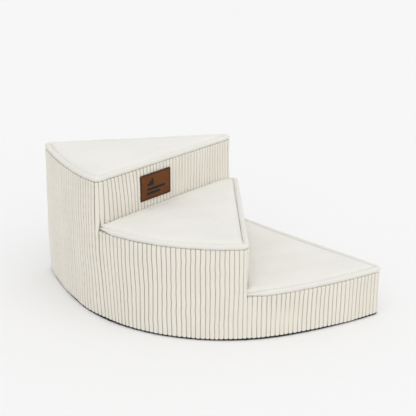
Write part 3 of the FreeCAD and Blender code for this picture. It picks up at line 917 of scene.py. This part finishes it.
def baseCloth():
    # a turned-up edge: a short profile carried round the whole fan, closed by a flat face each side
    profile = np.array([[0.0060, baseLook["under"]], [0.0032, 0.0008], [0.0024, 0.0014], [0.0022, 0.0030],
                        [0.0026, baseLook["edgeTop"] - 0.0008], [0.0050, baseLook["edgeTop"]]])
    s = np.linspace(paths[1]["s"][0], roundEnd[1], 900, endpoint=False)
    inset = profile[:, :1] + 0.0004 * ripple(s, profile[:, 1:], 0.02, 0.004, 61)[None, :].reshape(len(profile), -1)
    x, y = outsideAt(1, s[None, :], inset)
    z = np.repeat(profile[:, 1:], len(s), 1)
    faces = tubeFaces(len(profile), len(s))
    return closedPiece("baseCloth", np.stack([x, y, z], -1), faces, "base", "base_fabric", "stair", "base_panel")


def gripDots():
    # low domes on a staggered grid, each a ring, a smaller ring above it and a flat top
    low, high = (np.array(v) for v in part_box("base_panel"))
    pitch = baseLook["dotPitch"]
    columns = np.arange(low[0], high[0], pitch)
    lines = np.arange(low[1], high[1], pitch * 0.866)
    x, y = np.meshgrid(columns, lines)
    x = x + (np.arange(len(lines)) % 2)[:, None] * pitch / 2
    spots = np.stack([x.ravel(), y.ravel()], 1)
    radius = np.hypot(spots[:, 0], spots[:, 1] - apexY)
    turn = np.degrees(np.arctan2(spots[:, 1] - apexY, spots[:, 0])) % 360
    spots = spots[(radius > 0.04) & (turn > 210) & (turn < 330)]
    radius = np.hypot(spots[:, 0], spots[:, 1] - apexY)
    s = np.linspace(0, rightCorner + 0.02, 1500)
    ex, ey = outsideAt(1, s)
    edge = np.interp(np.arctan2(spots[:, 1] - apexY, spots[:, 0]),
                     np.arctan2(ey - apexY, ex), np.hypot(ex, ey - apexY))
    side = np.minimum(*(np.abs(np.cross(polar(1, b), spots - [0, apexY])) for b in (210, 330)))
    spots = spots[(radius < edge - baseLook["dotMargin"]) & (side > baseLook["dotMargin"])]
    ring = np.radians(np.arange(8) * 45.0)
    unit = np.concatenate([np.stack([np.cos(ring) * r, np.sin(ring) * r, np.full(8, h)], 1) for r, h in (
        (baseLook["dotRadius"], 0.0012), (baseLook["dotRadius"], 0.0005), (baseLook["dotRadius"] * 0.7, 0.0))])
    points = unit[None] + np.concatenate([spots, np.zeros((len(spots), 1))], 1)[:, None]
    print(len(spots), "grip dots")
    faces = manyTubes(len(spots), 3, 8)
    return closedPiece("gripDots", points, faces, "dots", "grip_silicone", "stair", "grip_dots")


baseCloth()
gripDots()
print("base made")


# Leather patch with a plain mark: a flight of three steps over two bars.
patch = {
    "wide": 0.101, "tall": 0.060, "thick": 0.0016, "corner": 0.0035, "proud": 0.0004,
    "channel": 0.0034, "stitchPitch": 0.0036, "stitchLong": 0.0025,
}
patchWay = polar(1, 180 + fan["backAngle"] + fan["wedge"])
patchOut = polar(1, 270 + fan["backAngle"] + fan["wedge"])
patchMiddle = sum(np.array(v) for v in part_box("label_patch")) / 2


def onPatch(a, b, h):
    # a runs towards the fan's back edge (to the right), b up, h out of the riser
    out = h - patch["thick"] / 2 + patch["proud"]
    xy = patchMiddle[:2] - patchWay * np.asarray(a)[..., None] + patchOut * np.asarray(out)[..., None]
    return np.concatenate([xy, (patchMiddle[2] + np.asarray(b))[..., None]], -1)


def roundedRing(wide, tall, radius, perCorner=7):
    # outline of a rounded rectangle, anticlockwise from its right side
    turn = np.radians(np.linspace(0, 90, perCorner))
    corners = [(1, 1, 0), (-1, 1, 90), (-1, -1, 180), (1, -1, 270)]
    parts = [
        np.stack([sx * (wide / 2 - radius) + radius * np.cos(turn + math.radians(start)),
                  sy * (tall / 2 - radius) + radius * np.sin(turn + math.radians(start))], 1)
        for sx, sy, start in corners
    ]
    return np.concatenate(parts)


def leatherPatch():
    # rings from the edge inwards: inset, height and how dark the edge dye is; the dip is the sewn channel
    profile = [(0.0, 0.0, 1.0), (0.0, 0.0009, 1.0), (0.0003, 0.0014, 1.0), (0.0010, 0.0016, 0.8),
               (0.0022, 0.0016, 0.45), (0.0029, 0.0014, 0.4), (0.0034, 0.0013, 0.4), (0.0039, 0.0014, 0.3),
               (0.0048, 0.0016, 0.1), (0.0120, 0.0016, 0.0)]
    rings, edge = [], []
    for inset, high, worn in profile:
        radius = max(patch["corner"] - inset, 0.0006)
        ring = roundedRing(patch["wide"] - 2 * inset, patch["tall"] - 2 * inset, radius)
        rings.append(onPatch(ring[:, 0], ring[:, 1], np.full(len(ring), high)))
        edge.append(np.full(len(ring), worn))
    faces = tubeFaces(len(rings), len(rings[0]))
    item = closedPiece(
        "leatherPatch", np.concatenate(rings), faces, "leather", "label_leather", "stair", "label_patch")
    setFloat(item, "edge", np.concatenate(edge))


def patchStitches():
    # stitches at equal lengths round a rounded rectangle that lies one channel in from the edge
    ring = roundedRing(patch["wide"] - 2 * patch["channel"], patch["tall"] - 2 * patch["channel"], 0.002)
    ring = np.concatenate([ring, ring[:1]])
    length = np.concatenate([[0], np.cumsum(np.hypot(*np.diff(ring, axis=0).T))])
    count = round(length[-1] / patch["stitchPitch"])
    at = (np.arange(count) + 0.5) * length[-1] / count
    ends = []
    for shift in (-patch["stitchLong"] / 2, patch["stitchLong"] / 2):
        spot = np.mod(at + shift, length[-1])
        a, b = np.interp(spot, length, ring[:, 0]), np.interp(spot, length, ring[:, 1])
        ends.append(onPatch(a, b, np.full(count, 0.00135)))
    lift = np.repeat([[*patchOut * 0.0003, 0]], count, 0)
    return stitchMesh("patchStitches", *ends, lift, 0.00030, "print", "label_leather")


def patchMark():
    # each block is a low rounded rectangle pressed onto the leather: three steps, then two bars
    blocks = [(-0.0250 + 0.0070 * k, 0.0046 + 0.0024 * k, 0.0072, 0.0052 + 0.0048 * k) for k in range(3)]
    blocks += [(0.0010, -0.0060, 0.0600, 0.0056), (-0.0070, -0.0156, 0.0440, 0.0056)]
    points, faces = [], []
    for a, b, wide, tall in blocks:
        outer = roundedRing(wide, tall, 0.0006, 4)
        inner = roundedRing(wide - 0.0005, tall - 0.0005, 0.0004, 4)
        for ring, high in ((outer, 0.0013), (outer, 0.00175), (inner, 0.0019)):
            points.append(onPatch(ring[:, 0] + a, ring[:, 1] + b, np.full(len(ring), high)))
        faces += tubeFaces(3, len(outer), (len(points) - 3) * len(outer))
    return closedPiece("patchMark", np.concatenate(points), faces, "print", "label_leather", "stair")


leatherPatch()
patchStitches()
patchMark()
print("patch made")


# Zip.
zipLook = {
    "toothPitch": 0.0016, "toothLong": 0.0011, "tapeWave": 0.0002,
    "stitchPitch": 0.0040, "stitchLong": 0.0027,
    "stitchOff": 0.0045,     # from the slot's edge to the stitches
    "edge": 0.00025,         # how far the metal's edges are rounded over
    "borderAt": 0.4080,      # middle of the pull's border, out from the fan's back edge
    "borderWide": 0.0185, "borderTall": 0.0048, "borderCorner": 0.0012,
    "borderFace": -0.0031, "borderThick": 0.00035, "borderDeep": 0.00030,
}
zipMiddle = (slotFoot + slotTop) / 2


def inZip(out, z, depth):
    # out from the fan's back edge, height, and depth in from the wall's outer face
    xy = np.array([0, apexY]) + backWay * np.asarray(out)[..., None] - backNormal * np.asarray(depth)[..., None]
    return np.concatenate([xy, np.asarray(z)[..., None]], -1)


def softBlock(name, sections, stations, material, slot, body, *nodes):
    # closed tube: sections are rings of (z, depth), one for each station out along the wall
    ringSize = len(sections[0])
    points = np.concatenate([
        inZip(np.full(ringSize, station), ring[:, 0], ring[:, 1]) for station, ring in zip(stations, sections)])
    return closedPiece(name, points, tubeFaces(len(stations), ringSize), material, slot, body, *nodes)


def zipTapes():
    # a thin strip on each side of the middle line, whose far edge waves by sin(station / 11 mm)
    for name, side in (("Upper", 1), ("Lower", -1)):
        stations = np.linspace(slotNear - 0.002, slotFar + 0.002, 160)
        sections = []
        for station in stations:
            wave = zipLook["tapeWave"] * math.sin(station / 0.011)
            near, far = zipMiddle + side * 0.0003, zipMiddle + side * 0.0082
            sections.append(np.array([[near, 0.0020], [far, 0.0023 + wave], [far, 0.0031 + wave], [near, 0.0031]]))
        softBlock("zipTape" + name, sections, stations, "tape", "zip_tape", "stair", f"zip_tape_{name.lower()}")


def zipCoils():
    # each tooth is a rounded bar across the middle line; the two rows take turns
    for row, (name, side) in enumerate((("Upper", 1), ("Lower", -1))):
        low, high = (np.array(v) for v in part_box(f"zip_coil_{name.lower()}"))
        ends = [float(np.hypot(v[0], apexY - v[1])) for v in ((high[0], high[1]), (low[0], low[1]))]
        pitch = zipLook["toothPitch"]
        spots = np.arange(min(ends) + 0.0008 + row * pitch / 2, max(ends) - 0.0008, pitch)
        t = np.linspace(0, 1, 6)
        z = zipMiddle + side * (-0.0007 + 0.0026 * t)
        depth = 0.0019 - 0.0010 * np.sin(math.pi * np.clip(t * 1.1, 0, 1))
        ring = np.radians(np.arange(6) * 60.0)
        out = spots[:, None, None] + zipLook["toothLong"] / 2 * np.cos(ring)[None, None, :] + 0 * z[None, :, None]
        deep = depth[None, :, None] + 0.0004 * np.sin(ring)[None, None, :] + 0 * out
        points = inZip(out, np.broadcast_to(z[None, :, None], out.shape), deep).reshape(-1, 3)
        faces = manyTubes(len(spots), 6, 6)
        closedPiece("zipCoil" + name, points, faces, "coil", "zip_coil", "stair", f"zip_coil_{name.lower()}")


def zipEdgeStitches():
    # a straight run of stitches above the slot and another below it
    count = int((slotFar - slotNear) / zipLook["stitchPitch"])
    out = slotNear + (np.arange(count) + 0.5) * zipLook["stitchPitch"]
    half = zipLook["stitchLong"] / 2
    lift = np.repeat([[*backNormal * 0.0003, 0]], count, 0)
    for name, z in (("Upper", slotTop + zipLook["stitchOff"]), ("Lower", slotFoot - zipLook["stitchOff"])):
        ends = [inZip(out + step, np.full(count, z), np.full(count, 0.0006)) for step in (-half, half)]
        stitchMesh("zipStitches" + name, *ends, lift, 0.0004, "thread", "zip_tape")


def softened(name, node, body):
    # cast metal: the plain solid with its edges rounded over
    item = welded(name, node, 1e-6, flatten=True)
    edge = item.modifiers.new("edge", "BEVEL")
    edge.width, edge.segments, edge.limit_method, edge.angle_limit = zipLook["edge"], 2, "ANGLE", math.radians(35)
    dress(baked(item), "metal")
    pointOutwards(item)
    return finishPiece(item, "zip_metal", body, node)


def pullBorder():
    # a raised border round the pull's outer face
    ring = roundedRing(zipLook["borderWide"], zipLook["borderTall"], zipLook["borderCorner"])
    turn = np.radians(np.arange(8) * 45.0)
    points = []
    for a, b in ring:
        way = np.array([a, b]) / math.hypot(a, b)
        out = zipLook["borderAt"] + a + zipLook["borderThick"] * way[0] * np.cos(turn)
        z = zipMiddle + b + zipLook["borderThick"] * way[1] * np.cos(turn)
        points.append(inZip(out, z, zipLook["borderFace"] + zipLook["borderDeep"] * np.sin(turn)))
    faces = ringFaces(len(ring), len(turn))
    return closedPiece("pullBorder", np.concatenate(points), faces, "metal", "zip_metal", "pull")


zipTapes()
zipCoils()
zipEdgeStitches()
softened("zipStops", "zip_stops", "stair")
softened("zipSlider", "zip_slider", "slider")
softened("zipPull", "zip_pull", "pull")
pullBorder()
for name in stepName.values():
    dress(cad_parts[f"foam_{name}_slab"], "foam")
print("zip made")


# Floor, light and camera.
studio = {
    "floor": (0.855, 0.855, 0.857), "sky": 0.86,
    "sun": 0.95, "sunSoft": 85, "sunAzimuth": 34, "sunElevation": 50,
    "azimuth": 18.6, "elevation": 19.0, "distance": 4.68,
    "aim": (-0.046, -0.320, 0.347), "roll": 0.23, "lens": 85.85,
}


def studioFloor():
    half = 14.0
    corners = [(-half, -half, 0), (half, -half, 0), (half, half, 0), (-half, half, 0)]
    r = Recipe("studioFloor", roughness=0.9, Specular_IOR_Level=0.1)
    r.colour(r.mix(r.between(r.noise(2.0), 0.2, 0.8), studio["floor"], tuple(v * 0.995 for v in studio["floor"])))
    meshObject("floor", corners, [(0, 1, 2, 3)], r.material)


def studioLight():
    world = bpy.data.worlds.new("studio")
    world.use_nodes = True
    background = world.node_tree.nodes["Background"]
    background.inputs["Color"].default_value = (1, 1, 1, 1)
    background.inputs["Strength"].default_value = studio["sky"]
    bpy.context.scene.world = world
    data = bpy.data.lights.new("key", "SUN")
    data.energy, data.angle = studio["sun"], math.radians(studio["sunSoft"])
    key = bpy.data.objects.new("key", data)
    key.rotation_euler = (math.radians(90 - studio["sunElevation"]), 0, math.radians(studio["sunAzimuth"]))
    bpy.context.scene.collection.objects.link(key)


def studioCamera():
    # aim and distance are counted in reaches from the foot of the fan's back edge
    a, e = math.radians(studio["azimuth"]), math.radians(studio["elevation"])
    back = Vector((math.sin(a) * math.cos(e), -math.cos(a) * math.cos(e), math.sin(e)))
    aim = Vector(studio["aim"]) * fan["reach"] + Vector((0, apexY, 0))
    data = bpy.data.cameras.new("camera")
    data.lens, data.sensor_width = studio["lens"], 36
    camera = bpy.data.objects.new("camera", data)
    camera.location = aim + back * studio["distance"] * fan["reach"]
    camera.rotation_euler = (-back).to_track_quat("-Z", "Y").to_euler()
    camera.rotation_euler.rotate_axis("Z", math.radians(studio["roll"]))
    data.clip_start, data.clip_end = 0.05, 60
    bpy.context.scene.collection.objects.link(camera)
    bpy.context.scene.camera = camera


studioFloor()
studioLight()
studioCamera()
bpy.context.scene.view_settings.view_transform = "Standard"

bpy.context.view_layer.update()
